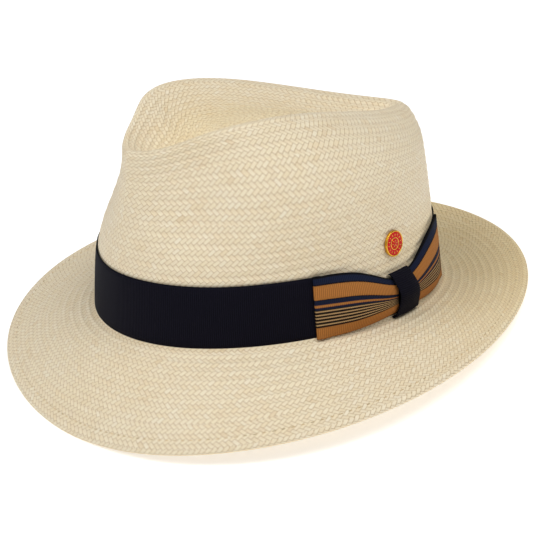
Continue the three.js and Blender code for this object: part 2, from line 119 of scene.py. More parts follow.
CAMERA_AZIMUTH, CAMERA_ELEVATION, CAMERA_ROLL = rad(54.8), rad(24.15), rad(4.0)
CAMERA_DISTANCE = 1.4
CAMERA_LENS, CAMERA_SENSOR = 169.1, 36
CAMERA_SHIFT = (-0.0031, 0.0204)

hat_to_row = (
    Matrix.Translation(Vector(REST_SHIFT) * MM) @ Matrix.Rotation(REST_PITCH, 4, "X")
)


def make_camera():
    back = Vector((
        math.sin(CAMERA_AZIMUTH) * math.cos(CAMERA_ELEVATION),
        -math.cos(CAMERA_AZIMUTH) * math.cos(CAMERA_ELEVATION),
        math.sin(CAMERA_ELEVATION),
    ))
    level = Vector((math.cos(CAMERA_AZIMUTH), math.sin(CAMERA_AZIMUTH), 0))
    upright = back.cross(level)
    right = level * math.cos(CAMERA_ROLL) - upright * math.sin(CAMERA_ROLL)
    up = upright * math.cos(CAMERA_ROLL) + level * math.sin(CAMERA_ROLL)
    turn = Matrix((right, up, back)).transposed().to_4x4()
    camera = bpy.data.cameras.new("camera")
    camera.sensor_width = CAMERA_SENSOR
    camera.lens = CAMERA_LENS
    camera.shift_x, camera.shift_y = CAMERA_SHIFT
    holder = bpy.data.objects.new("camera", camera)
    bpy.context.scene.collection.objects.link(holder)
    holder.matrix_world = hat_to_row @ Matrix.Translation(back * CAMERA_DISTANCE) @ turn
    bpy.context.scene.camera = holder


make_camera()

# ---- The straw surface -----------------------------------------------------------------------


def around(terms, t):
    """The cosine series with these terms, at angle t round the head."""
    return sum(term * np.cos(k * t) for k, term in enumerate(terms))


def spline_basis(v, controls=len(CROWN_RINGS), degree=3):
    """How much each control ring counts at v, for a clamped uniform cubic B-spline."""
    inner = np.linspace(0, 1, controls - degree + 1)
    knots = np.concatenate([np.zeros(degree), inner, np.ones(degree)])
    v = np.clip(v, 0, 1 - 1e-9)
    weight = np.zeros((len(v), controls + degree))
    for k in range(controls + degree):
        weight[:, k] = (v >= knots[k]) & (v < knots[k + 1])
    for d in range(1, degree + 1):
        raised = np.zeros_like(weight)
        for k in range(controls + degree - d):
            left, right = knots[k + d] - knots[k], knots[k + d + 1] - knots[k + 1]
            if left > 0:
                raised[:, k] += (v - knots[k]) / left * weight[:, k]
            if right > 0:
                raised[:, k] += (knots[k + d + 1] - v) / right * weight[:, k + 1]
        weight = raised
    return weight[:, :controls]


def crown_points(t, v):
    """Points of the crown's outer face, with v 0 at the break and 1 in the dent."""
    shape = np.broadcast_shapes(t.shape, v.shape)
    t, v = np.broadcast_to(t, shape).ravel(), np.broadcast_to(v, shape).ravel()
    weight = spline_basis(v)
    point = np.zeros((t.size, 3))
    for k, (length, width, egg, shift, height) in enumerate(CROWN_RINGS):
        point[:, 0] += weight[:, k] * width * np.sin(t) * (1 + egg * np.cos(t))
        point[:, 1] += weight[:, k] * (shift - length * np.cos(t))
        point[:, 2] += weight[:, k] * around(height, t)
    angle = np.abs(np.arctan2(np.sin(t), np.cos(t)))
    beside = np.exp(-(((angle - PINCH_ANGLE) / PINCH_SPREAD) ** 2))
    above = 1 / (1 + np.exp(-(point[:, 2] - PINCH_START) / PINCH_SOFTNESS))
    radius = np.hypot(point[:, 0], point[:, 1])
    fade = np.clip((radius - PINCH_FADE_FROM) / PINCH_FADE_OVER, 0, 1)
    point[:, :2] *= (1 - PINCH_DEPTH * beside * above * fade / np.maximum(radius, 1))[:, None]
    return point.reshape(*shape, 3)


def brim_points(t, s):
    """Points of the brim's upper face, with s 0 at the break and 1 at the edge."""
    reach = around(BRIM_WIDTH, t) * s
    dip = REAR_DIP * np.sin(np.pi * s) * (1 - np.cos(t)) / 2
    fall = around(BREAK_HEIGHT, t) * (1 - s) + around(BRIM_EDGE_HEIGHT, t) * s**BRIM_CURVE
    x = (HALF_WIDTH + reach) * np.sin(t)
    y = -(HALF_LENGTH + reach) * np.cos(t)
    return np.stack(np.broadcast_arrays(x, y, fall - dip), -1)


def sharp_straw(t, m):
    """Brim and crown together, meeting at the break in a sharp corner."""
    t, m = np.broadcast_arrays(t, m)
    brim = brim_points(t, np.clip(1 - m / BREAK_AT, 0, 1) * EDGE_AT)
    crown = crown_points(t, np.clip((m - BREAK_AT) / (1 - BREAK_AT), 0, 1))
    return np.where((m < BREAK_AT)[..., None], brim, crown)


def straw_points(t, m):
    """The outer face along each meridian, with the corner at the break rounded off."""
    t, m = np.broadcast_arrays(t, m)
    near = np.exp(-(((m - BREAK_AT) / (2 * BREAK_SOFTNESS)) ** 2))[..., None]
    either = sharp_straw(t, m - BREAK_SOFTNESS) + sharp_straw(t, m + BREAK_SOFTNESS)
    return sharp_straw(t, m) * (1 - near / 2) + either * near / 4


def surface_frames(surface, t, m):
    """(normal out of the hat, direction along the meridian towards the crown's middle)."""
    turn, step = 0.004, 0.01
    across = surface(t + turn, m) - surface(t - turn, m)
    inward = surface(t, np.minimum(m + step, 1)) - surface(t, np.maximum(m - step, 0))
    normal = np.cross(across, inward)
    normal /= np.linalg.norm(normal, axis=-1, keepdims=True) + 1e-12
    inward /= np.linalg.norm(inward, axis=-1, keepdims=True) + 1e-12
    return normal, inward


def wall_points(t, rise, out):
    """Points beside the crown's wall: rise over the break line, out from the outer face."""
    t, rise, out = np.broadcast_arrays(t, rise, out)
    target = around(BREAK_HEIGHT, t) + np.maximum(rise, 0)
    wall_ends, halvings = 0.45, 22
    low, high = np.zeros_like(target), np.full_like(target, wall_ends)
    for _ in range(halvings):
        middle = (low + high) / 2
        under = crown_points(t, middle)[..., 2] < target
        low, high = np.where(under, middle, low), np.where(under, high, middle)
    normal, _ = surface_frames(crown_points, t, high)
    point = crown_points(t, high) + normal * out[..., None]
    point[..., 2] += np.minimum(rise, 0)
    return point


def arc_per_radian(t):
    """Millimetres round the break line for each radian of t."""
    return np.hypot(HALF_WIDTH * np.cos(t), HALF_LENGTH * np.sin(t))


# ---- Meshes from point grids -----------------------------------------------------------------


def unit(vector):
    return vector / (np.linalg.norm(vector, axis=-1, keepdims=True) + 1e-12)


def path_lengths(path):
    """How far along the path each of its points lies."""
    steps = np.linalg.norm(np.diff(path, axis=0), axis=-1)
    return np.concatenate([[0], np.cumsum(steps)])


def make_piece(name, points, faces, uv=None):
    """points in millimetres in the hat's frame; uv holds one (u, v) for each face corner in order.
    Nothing goes below the surface that the hat stands on."""
    mesh = bpy.data.meshes.new(name)
    mesh.from_pydata((np.asarray(points) * MM).tolist(), [], faces)
    if uv is not None:
        layer = mesh.uv_layers.new(name="weave")
        layer.data.foreach_set("uv", np.asarray(uv, dtype=np.float32).ravel())
    mesh.transform(hat_to_row)
    for vertex in mesh.vertices:
        vertex.co.z = max(vertex.co.z, 0.0)
    mesh.polygons.foreach_set("use_smooth", [True] * len(mesh.polygons))
    mesh.update()
    piece = bpy.data.objects.new(name, mesh)
    bpy.context.scene.collection.objects.link(piece)
    return piece


def finish_piece(piece, body, material, node):
    """Give the piece its finish and body. It stands for one plain solid, the node."""
    piece.data.materials.append(material)
    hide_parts(node)
    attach(piece, body)
    return piece


def ring_faces(rings, sides):
    """Faces between rings of points that close round, with the row and column of each face."""
    row, column = np.meshgrid(np.arange(rings - 1), np.arange(sides), indexing="ij")
    row, column = row.ravel(), column.ravel()
    after = (column + 1) % sides
    faces = np.stack([
        row * sides + column, row * sides + after,
        (row + 1) * sides + after, (row + 1) * sides + column,
    ], -1)
    return faces, row, column


def capped_rings(rings, sides):
    """Faces of a closed bar or dome made of rings of points."""
    faces = [tuple(face) for face in ring_faces(rings, sides)[0].tolist()]
    last = (rings - 1) * sides
    return [*faces, tuple(range(sides))[::-1], tuple(range(last, last + sides))]


def joined(parts):
    """One set of points and faces from several."""
    points, faces = [], []
    for more, more_faces in parts:
        faces += [tuple(k + len(points) for k in face) for face in more_faces]
        points += more
    return points, faces


def sheet_solid(middle, thickness, u, v):
    """A closed sheet of this thickness about a grid of middle points, with UVs on both faces."""
    u, v = np.broadcast_arrays(u, v)
    rows, columns = middle.shape[:2]
    normal = unit(np.cross(np.gradient(middle, axis=1), np.gradient(middle, axis=0)))
    half = thickness / 2 * normal
    points = np.concatenate([(middle + half).reshape(-1, 3), (middle - half).reshape(-1, 3)])
    count = rows * columns
    index = np.arange(count).reshape(rows, columns)
    corners = index[:-1, :-1], index[:-1, 1:], index[1:, 1:], index[1:, :-1]
    front = np.stack(corners, -1).reshape(-1, 4)
    faces = [front, front[:, ::-1] + count]
    rim = np.concatenate([index[0, :], index[1:, -1], index[-1, -2::-1], index[-2:0:-1, 0]])
    after = np.roll(rim, -1)
    faces.append(np.stack([after, rim, rim + count, after + count], -1))
    faces = np.concatenate(faces)
    flat = np.stack([u.ravel(), v.ravel()], -1)
    uv = np.concatenate([flat, flat])[faces]
    return points, faces.tolist(), uv.reshape(-1, 2)


# ---- Material building blocks ----------------------------------------------------------------


class Nodes:
    """Short names for building a material's node tree."""

    def __init__(self, name):
        self.material = bpy.data.materials.new(name)
        self.material.use_nodes = True
        self.tree = self.material.node_tree
        self.shader = self.tree.nodes["Principled BSDF"]

    def put(self, socket, value):
        if isinstance(value, bpy.types.NodeSocket):
            self.tree.links.new(value, socket)
        else:
            socket.default_value = value

    def new(self, kind, **inputs):
        node = self.tree.nodes.new(kind)
        for key, value in inputs.items():
            self.put(node.inputs[key], value)
        return node

    def math(self, operation, a, b=0.0):
        node = self.tree.nodes.new("ShaderNodeMath")
        node.operation = operation
        for socket, value in zip(node.inputs, (a, b)):
            self.put(socket, value)
        return node.outputs[0]

    def add(self, a, b):
        return self.math("ADD", a, b)

    def sub(self, a, b):
        return self.math("SUBTRACT", a, b)

    def mul(self, a, b):
        return self.math("MULTIPLY", a, b)

    def pick(self, flag, yes, no):
        """yes where flag is 1, no where it is 0."""
        return self.add(no, self.mul(flag, self.sub(yes, no)))

    def smooth(self, value, low, high):
        """A soft step from 0 at low to 1 at high."""
        node = self.tree.nodes.new("ShaderNodeMapRange")
        node.interpolation_type = "SMOOTHSTEP"
        for key, number in (("Value", value), ("From Min", low), ("From Max", high)):
            self.put(node.inputs[key], number)
        return node.outputs["Result"]

    def ramp(self, value, stops, constant=False):
        node = self.tree.nodes.new("ShaderNodeValToRGB")
        node.color_ramp.interpolation = "CONSTANT" if constant else "LINEAR"
        elements = node.color_ramp.elements
        while len(elements) > 1:
            elements.remove(elements[-1])
        elements[0].position, elements[0].color = stops[0][0], (*stops[0][1], 1)
        for position, color in stops[1:]:
            elements.new(position).color = (*color, 1)
        self.put(node.inputs[0], value)
        return node.outputs[0]

    def mix(self, factor, a, b, blend="MIX"):
        """a where factor is 0, b (or a times b) where it is 1."""
        node = self.tree.nodes.new("ShaderNodeMix")
        node.data_type, node.blend_type = "RGBA", blend
        for key, value in ((0, factor), (6, a), (7, b)):
            if isinstance(value, tuple) and len(value) == 3:
                value = (*value, 1)
            self.put(node.inputs[key], value)
        return node.outputs[2]

    def times(self, factor, color, other):
        """color, and where factor is 1, color times other."""
        return self.mix(factor, color, self.mix(1.0, color, other, "MULTIPLY"))

    def noise(self, vector, scale, detail=2.0, roughness=0.5):
        node = self.new("ShaderNodeTexNoise", Vector=vector, Scale=scale, Detail=detail,
                        Roughness=roughness)
        return node.outputs["Fac"]

    def vector(self, x=0.0, y=0.0, z=0.0):
        return self.new("ShaderNodeCombineXYZ", X=x, Y=y, Z=z).outputs[0]

    def uv(self):
        """The two values of the piece's UV map."""
        node = self.tree.nodes.new("ShaderNodeUVMap")
        node.uv_map = "weave"
        split = self.new("ShaderNodeSeparateXYZ", Vector=node.outputs[0])
        return split.outputs[0], split.outputs[1]

    def place(self):
        """Position on the hat, in metres."""
        return self.tree.nodes.new("ShaderNodeTexCoord").outputs["Object"]

    def bump(self, height, distance, strength):
        node = self.new("ShaderNodeBump", Height=height, Distance=distance, Strength=strength)
        self.put(self.shader.inputs["Normal"], node.outputs[0])

    def finish(self, **inputs):
        for key, value in inputs.items():
            if isinstance(value, tuple) and len(value) == 3:
                value = (*value, 1)
            self.put(self.shader.inputs[key.replace("_", " ")], value)
        return self.material


def srgb(red, green, blue):
    """Linear colour from the usual 0 to 255 display values."""
    def linear(channel):
        share = channel / 255
        return share / 12.92 if share <= 0.04045 else ((share + 0.055) / 1.055) ** 2.4
    return (linear(red), linear(green), linear(blue))

# ---- Straw: a two-over-two twill of palm strands in herringbone rows -------------------------

COLUMNS = 640
ROW_SPACING = 0.95
# A strand crossing's size round the hat and along the meridian.
CELL_ROUND, CELL_ALONG = 3.15, 2.62
# A row takes a new number of crossings once they are this share too wide or thin.
CELL_CHANGE = 0.09
# How slowly the rows stray, for each crossing, and how far, in crossings.
WANDER_PACE, WANDER = 0.35, 0.55
# Half the height of the ridges that the rows make, against the meridian value.
RELIEF_AT, RELIEF = (0.0, 0.12, 0.29, 0.36, 1.0), (0.14, 0.32, 0.42, 0.22, 0.16)
HEM_GROOVE, HEM_GROOVE_WIDTH = 0.35, 0.7
HEM_TAPER = 0.25

BRICK_TONES = (
    (0.0, srgb(236, 218, 185)), (0.3, srgb(239, 225, 195)), (0.55, srgb(241, 228, 200)),
    (0.8, srgb(236, 221, 192)), (0.95, srgb(243, 233, 210)), (1.0, srgb(226, 204, 168)),
)
STRAND_TONES = ((0.0, srgb(236, 220, 187)), (0.5, srgb(241, 229, 201)), (1.0, srgb(238, 223, 195)))
PATCH_TONE, GRAIN_TONE = srgb(248, 236, 214), srgb(206, 182, 138)
# Painted shade tones for the slits, the tucked ends and the furrows of the weave.
SLIT_SHADE_TONE, TUCKED_END_SHADE_TONE, FURROW_SHADE_TONE = srgb(192, 153, 88), srgb(152, 108, 54), srgb(176, 132, 78)
# Painted shade: the rear of the brim and the dent are tinted darker and warmer than the rest,
# standing in for the shade and the warm light bounced between the straw there.
WARM_SHADE_TINT = (0.97, 0.90, 0.70)
WARM_SHADE_REAR, WARM_SHADE_HEIGHT, WARM_SHADE_ROWS = (-0.01, 0.12), (0.07, 0.045), (24.0, 12.0)


def straw_material():
    """The UV map counts strand crossings: u round the hat, v along the meridian. Strands run both
    ways on the diagonals, each passing over two and under two, which makes rows of bricks leaning
    left and right by turns."""
    n = Nodes("woven_straw")
    u, row_count = n.uv()
    stray = n.vector(n.mul(u, WANDER_PACE), n.mul(row_count, WANDER_PACE), 0.0)
    v = n.add(row_count, n.mul(n.sub(n.noise(stray, 1.0, 1.0), 0.5), WANDER))

    # Which strand is on top here, and where in its brick this point lies.
    a, b = n.add(u, v), n.sub(u, v)
    i, j = n.math("FLOOR", a), n.math("FLOOR", b)
    part_a, part_b = n.sub(a, i), n.sub(b, j)
    step = n.math("FLOORED_MODULO", n.sub(i, j), 4.0)
    rising = n.math("LESS_THAN", step, 1.5)
    across = n.pick(rising, part_a, part_b)
    along = n.pick(
        rising, n.add(n.sub(1.0, step), part_b), n.add(n.sub(step, 2.0), part_a)
    )
    first_i = n.pick(rising, i, n.sub(i, n.sub(step, 2.0)))
    first_j = n.pick(rising, n.sub(j, n.sub(1.0, step)), j)
    brick = n.new("ShaderNodeTexWhiteNoise", Vector=n.vector(first_i, first_j, rising))
    strand = n.new(
        "ShaderNodeTexWhiteNoise", Vector=n.vector(n.pick(rising, i, j), rising, 7.0)
    )

    # Each brick is arched both ways, with a slit beside it and its ends tucked under; the slit and
    # the tucked ends are darkened as painted shade.
    offset = n.math("ABSOLUTE", n.sub(n.mul(across, 2.0), 1.0))
    reach = n.math("ABSOLUTE", n.sub(along, 1.0))
    body = n.math("MAXIMUM", n.sub(1.0, n.math("POWER", offset, 6.0)), 0.0)
    arch = n.math("MAXIMUM", n.sub(1.0, n.math("POWER", reach, 6.0)), 0.0)
    height = n.mul(n.math("POWER", body, 0.6), arch)
    slit = n.smooth(offset, 0.84, 1.0)
    ends = n.smooth(reach, 0.90, 1.0)
    fibres = n.vector(n.mul(across, 7.0), n.mul(along, 0.8), n.mul(first_i, 3.1))
    grain = n.noise(fibres, 1.0, 2.0)

    color = n.mix(0.4, n.ramp(brick.outputs["Value"], BRICK_TONES),
                  n.ramp(strand.outputs["Value"], STRAND_TONES))
    patch = n.smooth(n.noise(n.place(), 24.0, 2.0), 0.4, 0.8)
    color = n.times(n.mul(patch, 0.15), color, PATCH_TONE)
    color = n.mix(n.mul(n.smooth(grain, 0.45, 0.8), 0.16), color, GRAIN_TONE)
    # Painted shade in the slits between strands and where the strand ends tuck under.
    color = n.mix(n.mul(slit, 0.80), color, SLIT_SHADE_TONE)
    color = n.mix(n.mul(ends, 0.85), color, TUCKED_END_SHADE_TONE)
    # Painted shade: the furrows between rows of strands are darkened a little.
    furrow = n.smooth(n.math("COSINE", n.mul(row_count, math.pi)), -0.3, -1.0)
    color = n.mix(n.mul(furrow, 0.05), color, FURROW_SHADE_TONE)
    # Painted shade: a darker, warmer tint on the rear of the brim and in the dent.
    spot = n.new("ShaderNodeSeparateXYZ", Vector=n.place()).outputs
    rear_brim_shade = n.mul(n.smooth(spot[1], *WARM_SHADE_REAR), n.smooth(spot[2], *WARM_SHADE_HEIGHT))
    dent = n.mul(n.smooth(row_count, *WARM_SHADE_ROWS), 0.55)
    color = n.times(n.mul(n.math("MAXIMUM", rear_brim_shade, dent), 0.8), color, WARM_SHADE_TINT)

    n.bump(n.add(height, n.mul(grain, 0.10)), 0.36 * MM, 0.7)
    return n.finish(Base_Color=color, Roughness=n.add(0.55, n.mul(slit, 0.25)),
                    Specular_IOR_Level=0.32, Sheen_Weight=0.06, Sheen_Roughness=0.5)


def straw_rows():
    """Meridian values for the outer face, from the dent's middle to the brim's edge, and how far
    along each lies, at even spacing."""
    fine = np.linspace(1, 0, 1600)
    t = np.linspace(0, TAU, 49)[:-1]
    path = straw_points(t[None, :], fine[:, None])
    lengths = np.linalg.norm(np.diff(path, axis=0), axis=-1).mean(axis=1)
    travelled = np.concatenate([[0], np.cumsum(lengths)])
    rows = int(travelled[-1] / ROW_SPACING)
    even = np.linspace(0, travelled[-1], rows + 1)
    return np.interp(even, travelled, fine), even


def straw_section(m, distance):
    """Rows of the whole closed section: (m, outward, depth, distance along the section)."""
    section = [(a, 0.0, 0.0, d) for a, d in zip(m, distance)]
    travelled = distance[-1]
    for turn in np.linspace(0, np.pi, 9)[1:-1]:
        section.append((0.0, EDGE_ROUND * math.sin(turn), EDGE_ROUND * (1 - math.cos(turn)),
                        travelled + EDGE_ROUND * turn))
    travelled += EDGE_ROUND * math.pi
    underside, tapered = 2 * EDGE_ROUND, STRAW + HEM_PLY + HEM_TAPER
    for share in np.linspace(0, 1, 5):
        section.append((HEM_AT * share, 0.0, underside + (tapered - underside) * share,
                        travelled + (HEM_WIDTH - EDGE_ROUND) * share))
    travelled += HEM_WIDTH - EDGE_ROUND
    section.append((HEM_AT * 1.08, 0.0, STRAW + 0.5, travelled + 1.0))
    section.append((HEM_AT * 1.02, 0.0, STRAW + 0.1, travelled + 1.5))
    inner = [a for a in m[::-1] if a > HEM_AT * 1.2]
    inner_distance = distance[::-1][-len(inner):]
    section += [(a, 0.0, STRAW, d) for a, d in zip(inner, inner_distance)]
    return np.array(section)


def cells_round(circumference):
    """How many crossings go round each row: changed only where strands get too wide or thin."""
    counts = np.zeros(len(circumference))
    count = 0.0
    for k in range(len(circumference)):
        wanted = max(circumference[k] / CELL_ROUND, 6)
        if count == 0 or abs(wanted / count - 1) > CELL_CHANGE:
            count = round(wanted)
        counts[k] = count
    return counts


def straw_uv(points, distance, row, column):
    """Strand crossings at the corners of each face, all four counted round its first row."""
    steps = np.linalg.norm(np.roll(points, -1, axis=1) - points, axis=-1)
    reach = np.concatenate([np.zeros((len(points), 1)), np.cumsum(steps, axis=1)], axis=1)
    total = np.maximum(reach[:, -1:], 1e-6)
    share = reach / total
    crossings = cells_round(total[:, 0])[row]
    v = distance / CELL_ALONG
    uv = np.empty((len(row), 4, 2))
    uv[:, 0, 0] = share[row, column] * crossings
    uv[:, 1, 0] = share[row, column + 1] * crossings
    uv[:, 2, 0] = share[row + 1, column + 1] * crossings
    uv[:, 3, 0] = share[row + 1, column] * crossings
    uv[:, 0:2, 1] = v[row][:, None]
    uv[:, 2:4, 1] = v[row + 1][:, None]
    back_jump = v[row + 1] < v[row] - 2
    uv[back_jump, 2:4, 1] = v[row][back_jump][:, None]
    return uv.reshape(-1, 2)


def straw_body():
    outer_m, outer_distance = straw_rows()
    m, outward, depth, distance = straw_section(outer_m, outer_distance).T
    t = np.linspace(0, TAU, COLUMNS + 1)[None, :-1]
    points = straw_points(t, m[:, None])
    normal, inward = surface_frames(straw_points, t, np.minimum(m[:, None], 0.996) + 0 * t)
    pole = m > 0.9999
    normal[pole] = (0, 0, 1)
    relief = np.interp(m, RELIEF_AT, RELIEF) * np.cos(TAU * distance / (2 * CELL_ALONG))
    relief[pole] = 0
    is_outer = depth == 0
    hem_line = outer_distance[-1] - HEM_WIDTH + EDGE_ROUND
    groove = np.exp(-(((distance - hem_line) / HEM_GROOVE_WIDTH) ** 2))
    groove[~is_outer] = 0
    sunk = depth - np.where(is_outer, relief, -relief) + HEM_GROOVE * groove
    points = points - inward * outward[:, None, None] - normal * sunk[:, None, None]
    faces, row, column = ring_faces(len(m), COLUMNS)
    uv = straw_uv(points, distance, row, column)
    piece = make_piece("straw_body_woven", points.reshape(-1, 3), faces.tolist(), uv)
    weld = piece.modifiers.new("weld", "WELD")
    weld.merge_threshold = 1e-6
    bpy.context.view_layer.objects.active = piece
    bpy.context.view_layer.update()
    with bpy.context.temp_override(object=piece, active_object=piece):
        bpy.ops.object.modifier_apply(modifier="weld")
    finish_piece(piece, "hat", straw_material(), "straw_body")


straw_body()

# ---- Ribbons ---------------------------------------------------------------------------------

NAVY = srgb(19, 18, 30)
BLACK = srgb(14, 14, 18)
BLUE = srgb(27, 34, 57)
CAMEL = srgb(184, 121, 62)
TAN = srgb(206, 168, 116)
RIB_PITCH = 1.1
YARNS = 90.0
PINSTRIPE_START, PINSTRIPE_PITCH, PINSTRIPE_TAN, PINSTRIPES = 0.545, 0.0535, 0.37, 5


def pinstripes():
    stops = []
    for k in range(PINSTRIPES):
        stops.append((PINSTRIPE_START + k * PINSTRIPE_PITCH, TAN))
        stops.append((PINSTRIPE_START + (k + PINSTRIPE_TAN) * PINSTRIPE_PITCH, BLACK))
    return stops


# From the top edge: wide blue, camel, a blue line, camel, a blue line, pinstripes, camel.
STRIPES = (
    (0.0, BLACK), (0.03, BLUE), (0.122, BLACK), (0.144, CAMEL), (0.365, BLACK), (0.378, BLUE),
    (0.452, CAMEL), (0.49, BLUE), (0.53, BLACK), *pinstripes(), (0.8125, CAMEL),
)


def ribbon_material(name, stripes, sheen, furrow_shade):
    """Grosgrain: u is millimetres along the ribbon, v the share of its width from the bottom."""
    n = Nodes(name)
    u, v = n.uv()
    rib = n.math("SINE", n.mul(u, TAU / RIB_PITCH))
    yarn = n.math("SINE", n.mul(v, TAU * YARNS))
    woven = n.add(n.mul(rib, 0.5), n.mul(n.mul(yarn, rib), 0.15))
    ragged = n.add(v, n.mul(rib, 0.0055))
    base = n.ramp(n.sub(1.0, ragged), stripes, constant=True) if stripes else NAVY
    fleck = n.noise(n.vector(n.mul(u, 1.6), n.mul(v, 60.0), 0.0), 1.0, 3.0)
    shade = n.add(0.84, n.mul(fleck, 0.3))
    grey = n.new("ShaderNodeCombineColor", Red=shade, Green=shade, Blue=shade).outputs[0]
    base = n.mix(1.0, base, grey, "MULTIPLY")
    furrow = n.smooth(rib, 0.1, -0.9)
    base = n.times(n.mul(furrow, furrow_shade), base, (0.3, 0.3, 0.3))
    selvedge = n.smooth(n.math("ABSOLUTE", n.sub(v, 0.5)), 0.482, 0.494)
    base = n.times(n.mul(selvedge, 0.5), base, (0.4, 0.4, 0.4))
    n.bump(woven, 0.16 * MM, 0.9)
    return n.finish(Base_Color=base, Roughness=0.75, Specular_IOR_Level=0.06, Sheen_Weight=sheen,
                    Sheen_Roughness=0.35)


navy_ribbon = ribbon_material("navy_grosgrain", None, sheen=0.012, furrow_shade=0.9)
striped_ribbon = ribbon_material("striped_grosgrain", STRIPES, sheen=0.02, furrow_shade=0.6)


def gathered(t):
    """1 at the knot, falling to 0 along the ribbon on both sides."""
    away = np.arctan2(np.sin(t - KNOT_ANGLE), np.cos(t - KNOT_ANGLE))
    return np.exp(-((away / WAIST_SPREAD) ** 2))


def round_the_head(start, columns):
    """Angles from start to start, less the gap at the join."""
    return start + JOIN_HALF_GAP + np.linspace(0, 1, columns) * (TAU - 2 * JOIN_HALF_GAP)


def hatband():
    t = round_the_head(KNOT_ANGLE, 900)[None, :]
    share = np.linspace(0, 1, 14)[:, None]
    height = BAND_HEIGHT - BAND_WAIST * gathered(t)
    wave = 0.18 * np.sin(3 * t + 1.0) + 0.12 * np.sin(7 * t)
    rise = BAND_LIFT + wave * share + share * height
    middle = wall_points(t, rise, BAND_OUT + 0.10 * np.cos(np.pi * share) ** 2)
    u = path_lengths(middle[len(share) // 2])
    piece = make_piece("hatband_ribbon", *sheet_solid(middle, BAND_THICKNESS, u[None, :], share))
    finish_piece(piece, "hat", navy_ribbon, "hatband")


hatband()


def smooth_curve(points, count):
    """A Catmull-Rom curve through 2-D points at even steps, and how far along each step lies."""
    points = np.asarray(points, float)
    ends = np.concatenate([[2 * points[0] - points[1]], points, [2 * points[-1] - points[-2]]])
    fine = []
    for k in range(len(points) - 1):
        p0, p1, p2, p3 = ends[k:k + 4]
        s = np.linspace(0, 1, 40, endpoint=False)[:, None]
        fine.append(0.5 * (2 * p1 + (p2 - p0) * s + (2 * p0 - 5 * p1 + 4 * p2 - p3) * s**2
                           + (3 * p1 - p0 - 3 * p2 + p3) * s**3))
    fine = np.concatenate([*fine, points[-1:]])
    travelled = path_lengths(fine)
    even = np.linspace(0, travelled[-1], count)
    return np.stack([np.interp(even, travelled, fine[:, a]) for a in (0, 1)], -1), even


# Shares of the ribbon's width from the top, in the open and where the gathers squeeze them.
OPEN_STRIPES, GATHERED_STRIPES = (0, 0.13, 0.37, 0.49, 0.83, 1), (0, 0.16, 0.44, 0.54, 0.73, 1)


def bow_loop(name, node, side, puff, overlap):
    """One loop: out along the hatband and back over it. side is -1 towards the front, puff how far
    the upper layer stands out, overlap how far its top rises over the hatband."""
    near, end = KNOT_WIDTH / 2 - KNOT_TUCK, KNOT_WIDTH / 2 - KNOT_TUCK + LOOP_LENGTH
    route, length = smooth_curve((
        (near, LOOP_OUT), (near + 0.5 * LOOP_LENGTH, LOOP_OUT), (end - 2.5, LOOP_OUT),
        (end - 0.3, LOOP_OUT + LOOP_FOLD / 2), (end - 2.5, LOOP_OUT + LOOP_FOLD),
        (near + 0.6 * LOOP_LENGTH, LOOP_OUT + 0.70 * puff),
        (near + 0.3 * LOOP_LENGTH, LOOP_OUT + 0.75 * puff), (near, KNOT_BULGE - 3.0),
    ), 170)
    share = np.linspace(0, 1, 65)[:, None]
    along, out = route[None, :, 0], route[None, :, 1]
    top_layer = (np.arange(len(length)) > np.argmax(route[:, 0]))[None, :]
    near_knot = np.clip(1 - (along - near) / (0.62 * LOOP_LENGTH), 0, 1) ** 1.6
    # The gathers squeeze the lower stripes into a pleat and leave a crease under them.
    gather = np.interp(1 - share, OPEN_STRIPES, GATHERED_STRIPES)
    level = 1 - ((1 - share) * (1 - near_knot) + gather * near_knot)
    pleat = np.exp(-(((level - 0.66) / 0.16) ** 2))
    crease = np.exp(-(((level - 0.40) / 0.09) ** 2)) - 0.6 * pleat
    hug = 1 - LOOP_EDGE_HUG * np.abs(2 * level - 1) ** 2.4 - 0.24 * crease * near_knot
    puffed = np.maximum(out - LOOP_OUT - LOOP_FOLD, 0)
    edge = np.abs(2 * level - 1) ** 6
    over = out - puffed + puffed * hug - 0.8 * edge * np.clip(puffed, 0, 1)
    t = KNOT_ANGLE + side * along / arc_per_radian(KNOT_ANGLE + side * along / (2 * HALF_LENGTH))
    bottom = LOOP_LIFT + LOOP_WAIST_LIFT * gathered(t)
    # The lower layer's top is tucked in behind the upper one's, up to the fold.
    tucked = np.where(top_layer, 0.0, 1.0 - np.clip(along / (end - 3.0), 0, 1) ** 8)
    top = BAND_TOP + overlap - tucked - (BAND_WAIST - overlap) * gathered(t)
    middle = wall_points(t, bottom + level * (top - bottom), np.where(top_layer, over, out))
    piece = make_piece(name, *sheet_solid(middle, LOOP_THICKNESS, length[None, :], share))
    finish_piece(piece, "hat", striped_ribbon, node)


bow_loop("bow_front_loop_ribbon", "bow_front_loop", side=-1, puff=5.6, overlap=0.5)
bow_loop("bow_rear_loop_ribbon", "bow_rear_loop", side=1, puff=5.2, overlap=1.5)


